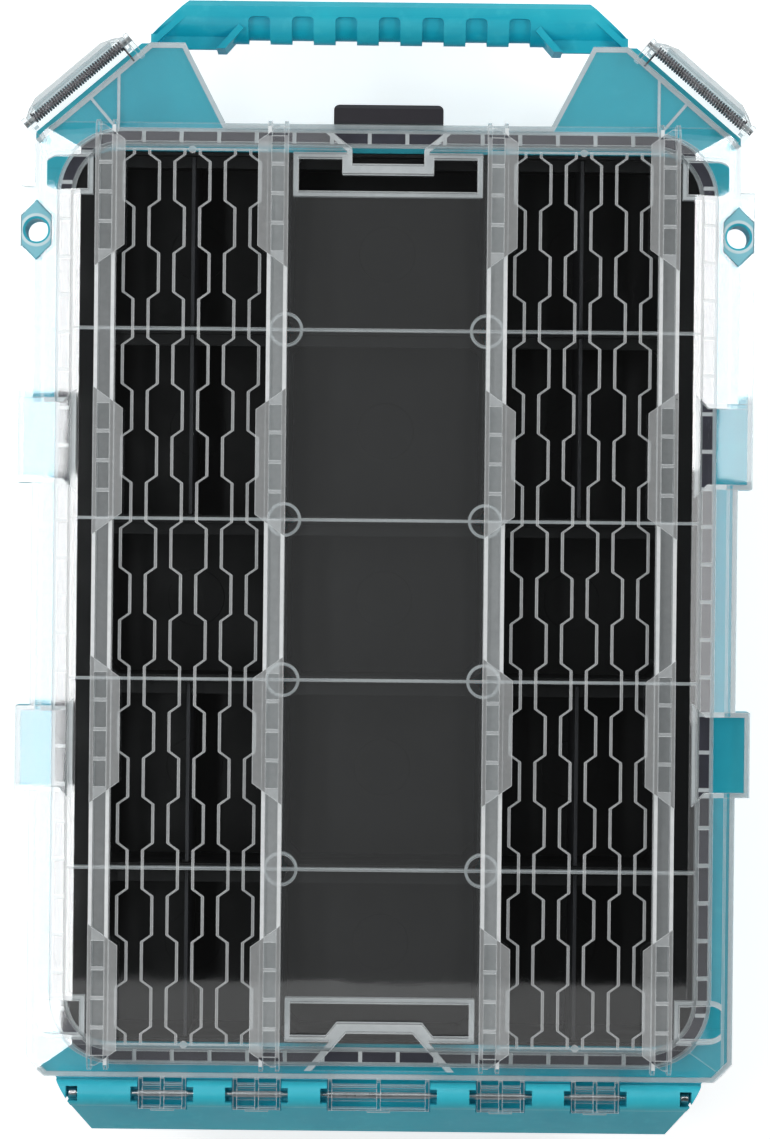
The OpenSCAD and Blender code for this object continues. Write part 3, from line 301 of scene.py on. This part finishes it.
def clear_plastic(name, tint, wall_highlight, bevel_highlight, level_highlights=(), stretches=()):
    """Level highlights are (heights, only faces that look down, strength), and stretches are
    (axis, middle, half width, height, strength) of paler bands. These, like the paler walls
    and edges, are painted highlights, a pale shader mixed over the clear one."""
    s = Shader(name)
    facing = s.add("ShaderNodeLayerWeight", {"Blend": 0.5}).outputs["Facing"]
    mirror = s.math("MULTIPLY_ADD", s.math("POWER", facing, 5.0), 1.0 - CLEAR_MIRROR,
                    CLEAR_MIRROR)
    normal = s.bump(s.noise(scale=35.0), 0.05, 0.6)
    see = s.shader("ShaderNodeBsdfTransparent", Color=tint)
    polish = s.ramp(s.noise(scale=25.0, detail=3.0, roughness=0.6), 0.3, 0.7, 0.02, 0.045)
    gloss = s.shader("ShaderNodeBsdfGlossy", Color=WHITE, Normal=normal, Roughness=polish)
    bend = s.add("ShaderNodeVectorMath",
                 {0: s.bevel(EDGE_WIDTH, samples=6), 1: s.geometry.outputs["Normal"]},
                 operation="DOT_PRODUCT").outputs["Value"]
    # Painted highlights on walls seen edge-on and on rounded edges
    highlights_and_haze = [s.ramp(s.math("ABSOLUTE", s.up), 0.5, 0.2, 0.0, wall_highlight),
             s.ramp(s.math("ABSOLUTE", bend), 0.995, 0.9, 0.0, bevel_highlight)]
    down = s.math("LESS_THAN", s.up, -0.9)
    # Painted highlights on faces at these heights
    for heights, only_down, strength in level_highlights:
        mask = s.largest([s.level(h) for h in heights])
        if only_down:
            mask = s.math("MULTIPLY", mask, down)
        highlights_and_haze.append(s.math("MULTIPLY", mask, strength))
    # Paler bands of painted highlight
    for axis, middle, half, height, strength in stretches:
        along = s.math("ABSOLUTE", s.x) if axis == "X" else s.y
        off = s.math("ABSOLUTE", s.math("SUBTRACT", along, middle * MM))
        highlights_and_haze.append(s.math("MULTIPLY", s.level(height),
                            s.within(off, half, STRETCH_SOFT, strength)))
    # Random variation in the painted highlight
    streaks = s.ramp(s.noise(scale=220.0, detail=3.0, roughness=0.7), 0.25, 0.75, 0.92, 1.04)
    pale = s.math("MULTIPLY", s.largest(highlights_and_haze), streaks, clamp=True)
    # Colour of the painted highlight
    white = s.mix_colour(s.noise(scale=300.0), (0.86, 0.9, 0.91, 1.0), (0.97, 0.99, 1.0, 1.0))
    highlight_and_haze_shader = s.shader("ShaderNodeBsdfPrincipled", Base_Color=white, Roughness=0.3,
                     Normal=normal)
    return s.finish(s.mix(pale, s.mix(mirror, see, gloss), highlight_and_haze_shader))


# Heights and places of the lid's painted highlights, in millimetres
RIB_ENDS = (88.3, 88.6, 92.0, 92.3, 92.6)
LOW_TOPS = (104.7, 105.4)
RAIL_TOPS = (111.0,)
PAD_TOPS = (113.0,)
FLANGE_TOP = 92.3
DOME_TOP = 104.0
PANEL_X = 101.0
RAIL_FROM_PANEL = 44.3
RAIL_HALF = 5.2
CENTRE_HALF = 53.0
HORN_Y = 254.0
HORN_HALF = 24.5

# Painted highlights on the lid's walls, edges, rib ends, low tops, rails, pads and horns; the
# faint band over the centre panel is partly the lid's own haze and partly painted highlight
clear_lid = clear_plastic(
    "clear_lid_plastic", (0.965, 0.98, 0.985, 1.0), wall_highlight=0.35, bevel_highlight=0.65,
    level_highlights=((RIB_ENDS, True, 0.75), (LOW_TOPS, False, 0.34), (RAIL_TOPS, False, 0.8),
                 (PAD_TOPS, False, 0.28)),
    stretches=(("X", PANEL_X - RAIL_FROM_PANEL, RAIL_HALF, DOME_TOP, 0.42),
               ("X", PANEL_X + RAIL_FROM_PANEL, RAIL_HALF, DOME_TOP, 0.3),
               ("X", 0.0, CENTRE_HALF, DOME_TOP, 0.04),
               ("Y", HORN_Y, HORN_HALF, FLANGE_TOP, 0.05)))
# The lever has painted highlights on its walls and edges
clear_lever = clear_plastic("clear_lever_plastic", (0.95, 0.97, 0.975, 1.0), wall_highlight=0.35,
                            bevel_highlight=0.5)

# The first of these that a node's name starts with is its finish
FINISHES = (
    (("base_", "rim_", "corner_block", "carry_"), teal), (("lid_shell",), clear_lid),
    (("lid_gasket",), gasket_rubber), (("hinge_pin_caps",), cap_steel),
    (("hinge_pin", "latch_pin"), pin_steel), (("latch_lever",), clear_lever),
    (("latch_spring", "stack_button_spring"), spring_steel), (("stack_button",), black_button),
    (("bin_",), black_bin), (("divider_",), grey_divider),
)

for name, obj in nodes.items():
    finish = next(material for starts, material in FINISHES if name.startswith(starts))
    if not obj.material_slots:
        obj.data.materials.append(finish)
    for slot in obj.material_slots:
        slot.material = finish


# Wound springs, with a round wire

WIRE_SIDES = 12
STEPS_PER_CURL = 24
STEPS_PER_LEG = 4


def wire_mesh(name, path, radius, material):
    """A tube round the path, closed at both ends."""
    count = len(path)
    verts, faces = [], []
    side = None
    for i, point in enumerate(path):
        ahead = path[min(i + 1, count - 1)] - path[max(i - 1, 0)]
        ahead.normalize()
        if side is None:
            side = ahead.orthogonal().normalized()
        side = (side - ahead * side.dot(ahead)).normalized()
        up = ahead.cross(side)
        for j in range(WIRE_SIDES):
            a = 2 * math.pi * j / WIRE_SIDES
            verts.append(point + radius * (math.cos(a) * side + math.sin(a) * up))
    for i in range(count - 1):
        for j in range(WIRE_SIDES):
            a = i * WIRE_SIDES + j
            b = i * WIRE_SIDES + (j + 1) % WIRE_SIDES
            faces.append((a, b, b + WIRE_SIDES, a + WIRE_SIDES))
    faces.append(tuple(range(WIRE_SIDES - 1, -1, -1)))
    faces.append(tuple(range((count - 1) * WIRE_SIDES, count * WIRE_SIDES)))
    mesh = bpy.data.meshes.new(name)
    mesh.from_pydata([v * MM for v in verts], [], faces)
    for polygon in mesh.polygons:
        polygon.use_smooth = len(polygon.vertices) == 4
    mesh.materials.append(material)
    obj = bpy.data.objects.new(name, mesh)
    scene.collection.objects.link(obj)
    return obj


def coil_path(radius, pitch, curls, leg_in, leg_out):
    """Points of a spring wound about X, with straight legs along Y below it, from X = 0."""
    steps = range(STEPS_PER_LEG)
    points = [Vector((0, -leg_in * (STEPS_PER_LEG - i) / STEPS_PER_LEG, -radius))
              for i in steps]
    for i in range(curls * STEPS_PER_CURL + 1):
        a = 2 * math.pi * i / STEPS_PER_CURL
        points.append(Vector((pitch * i / STEPS_PER_CURL, radius * math.sin(a),
                              -radius * math.cos(a))))
    points += [Vector((curls * pitch, leg_out * (i + 1) / STEPS_PER_LEG, -radius))
               for i in steps]
    return points


LATCH_PLACE = (161.2, 249.5, 95.4)
LATCH_TURN = math.radians(-40.6)
LATCH_WIRE = 0.5
LATCH_COIL = 2.3
LATCH_PITCH = 1.55
LATCH_CURLS = 38
LATCH_LEG_IN = 10.0
LATCH_LEG_OUT = 3.98

place = Matrix.Translation(LATCH_PLACE) @ Matrix.Rotation(LATCH_TURN, 4, "Z")
middle = Vector((LATCH_CURLS * LATCH_PITCH / 2, 0, 0))
local = [p - middle for p in coil_path(LATCH_COIL, LATCH_PITCH, LATCH_CURLS, LATCH_LEG_IN,
                                       LATCH_LEG_OUT)]
for hand, sign in (("right", 1), ("left", -1)):
    path = [place @ p for p in local]
    path = [Vector((sign * p.x, p.y, p.z)) for p in path]
    spring = wire_mesh("latch_spring_wire_" + hand, path, LATCH_WIRE, spring_steel)
    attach(spring, "lid")
    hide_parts("latch_spring_" + hand)

BUTTON_WIRE = 0.4
BUTTON_COIL = 2.3
BUTTON_CURLS = 8
BUTTON_LEG = 0.8
spring_y = 222.2

low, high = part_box("stack_button_spring")
spring_low = low.z / MM + BUTTON_WIRE
spring_pitch = (high.z / MM - BUTTON_WIRE - spring_low) / BUTTON_CURLS
path = [Vector((-p.z, spring_y + p.y, spring_low + p.x)) for p in coil_path(
    BUTTON_COIL, spring_pitch, BUTTON_CURLS, BUTTON_LEG, BUTTON_LEG)]
spring = wire_mesh("stack_button_spring_wire", path, BUTTON_WIRE, spring_steel)
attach(spring, "base")
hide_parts("stack_button_spring")
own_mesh(spring)


# Floor, of lit paper that looks white to the camera and keeps its shadows

FLOOR_HALF = 6.0
FLOOR_DROP = 0.0005
PAPER = (0.8, 0.8, 0.8, 1.0)
PAPER_GLOW = (0.62, 0.62, 0.62, 1.0)

mesh = bpy.data.meshes.new("floor")
mesh.from_pydata([(x * FLOOR_HALF, y * FLOOR_HALF, 0)
                  for x, y in ((-1, -1), (1, -1), (1, 1), (-1, 1))], [], [(0, 1, 2, 3)])
floor = bpy.data.objects.new("floor", mesh)
scene.collection.objects.link(floor)
floor.location = (0, 0, cad_box[0][2] - FLOOR_DROP)
s = Shader("floor_paper")
paper = s.shader("ShaderNodeBsdfDiffuse", Color=PAPER)
glow = s.shader("ShaderNodeEmission", Color=PAPER_GLOW)
both = s.add("ShaderNodeAddShader", {0: paper, 1: glow}).outputs[0]
seen = s.ray_is("Is Camera Ray", "Is Transmission Ray")
floor.data.materials.append(s.finish(s.mix(seen, paper, both)))


# Studio: white to the camera, and to the case bright low down and dark overhead, where flat
# clear faces would mirror it, and dimmer to the rear

world = bpy.data.worlds.new("studio")
scene.world = world
w = Nodes(world)
axes = w.add("ShaderNodeSeparateXYZ", {0: w.coords.outputs["Generated"]})
height = w.ramp(axes.outputs[2], 0.55, 0.95, 0.8, 0.03)
forward = w.ramp(axes.outputs[1], -0.8, 0.8, 0.5, 1.15)
studio = w.shader("ShaderNodeBackground", Color=WHITE,
                  Strength=w.math("MULTIPLY", height, forward))
plain = w.shader("ShaderNodeBackground", Color=WHITE, Strength=1.0)
w.close("ShaderNodeOutputWorld", w.mix(w.ray_is("Is Camera Ray"), studio, plain))


# Lamps

LAMP_AIM_HEIGHT = 0.1


def softbox(name, x, y, tilt, turn, distance, width, length, radiance):
    """A rectangular lamp at this tilt from the vertical, aimed at the lid at x, y."""
    lamp = bpy.data.lights.new(name, "AREA")
    lamp.shape = "RECTANGLE"
    lamp.size = width
    lamp.size_y = length
    lamp.energy = radiance * math.pi * width * length
    obj = bpy.data.objects.new(name, lamp)
    scene.collection.objects.link(obj)
    out = Vector((math.sin(tilt) * math.cos(turn), math.sin(tilt) * math.sin(turn),
                  math.cos(tilt)))
    obj.location = Vector((x, y, LAMP_AIM_HEIGHT)) + out * distance
    across = Vector((-math.sin(turn), math.cos(turn), 0))
    obj.rotation_euler = Matrix((across.cross(out), across, out)).transposed().to_euler()
    obj.visible_camera = False


# The slopes of the lid mirror the softboxes at twice their own angle, and the flat edges
# mirror the strips that stand nearly overhead. Each side's are split where its steps are,
# which look darker in the photograph
SLOPE_TILT = math.radians(50.5)
EDGE_TILT = math.radians(5.1)
LEFT, RIGHT, FRONT = math.pi, 0.0, math.pi / 2
BOX_DISTANCE, BOX_WIDTH, BOX_X = 1.1, 0.26, 0.17
STRIP_DISTANCE, STRIP_WIDTH, STRIP_X = 1.0, 0.045, 0.1886
WIDE_STRIP_WIDTH, WIDE_STRIP_X = 0.056, 0.1831

for name, turn, y, length, radiance in (
        ("softbox_left_front", LEFT, 0.25, 0.226, 9.5),
        ("softbox_left_middle", LEFT, -0.018, 0.178, 9.5),
        ("softbox_left_rear", LEFT, -0.29, 0.232, 9.5),
        ("softbox_right", RIGHT, 0.33, 0.5, 9.5),
        ("softbox_right_weak", RIGHT, -0.02, 0.2, 2.2)):
    softbox(name, math.cos(turn) * BOX_X, y, SLOPE_TILT, turn, BOX_DISTANCE, BOX_WIDTH, length,
            radiance)

for name, turn, wide, y, length, radiance in (
        ("edge_strip_left_front", LEFT, False, 0.211, 0.156, 15.0),
        ("edge_strip_left_step_1", LEFT, True, 0.1005, 0.063, 9.0),
        ("edge_strip_left_middle", LEFT, False, -0.0175, 0.171, 15.0),
        ("edge_strip_left_step_2", LEFT, True, -0.1355, 0.063, 7.0),
        ("edge_strip_left_rear", LEFT, True, -0.2775, 0.219, 13.0),
        ("edge_strip_right_front", RIGHT, False, 0.211, 0.156, 12.0),
        ("edge_strip_right_step", RIGHT, False, 0.1005, 0.063, 4.5)):
    x, width = (WIDE_STRIP_X, WIDE_STRIP_WIDTH) if wide else (STRIP_X, STRIP_WIDTH)
    softbox(name, math.cos(turn) * x, y, EDGE_TILT, turn, STRIP_DISTANCE, width, length,
            radiance)

softbox("glow_rear", 0.0, -0.341, tilt=0.0, turn=RIGHT, distance=1.0, width=0.5, length=0.05,
        radiance=0.7)
softbox("fill_front", 0.0, 0.0, tilt=math.radians(55.0), turn=FRONT, distance=1.6, width=1.4,
        length=0.5, radiance=0.9)
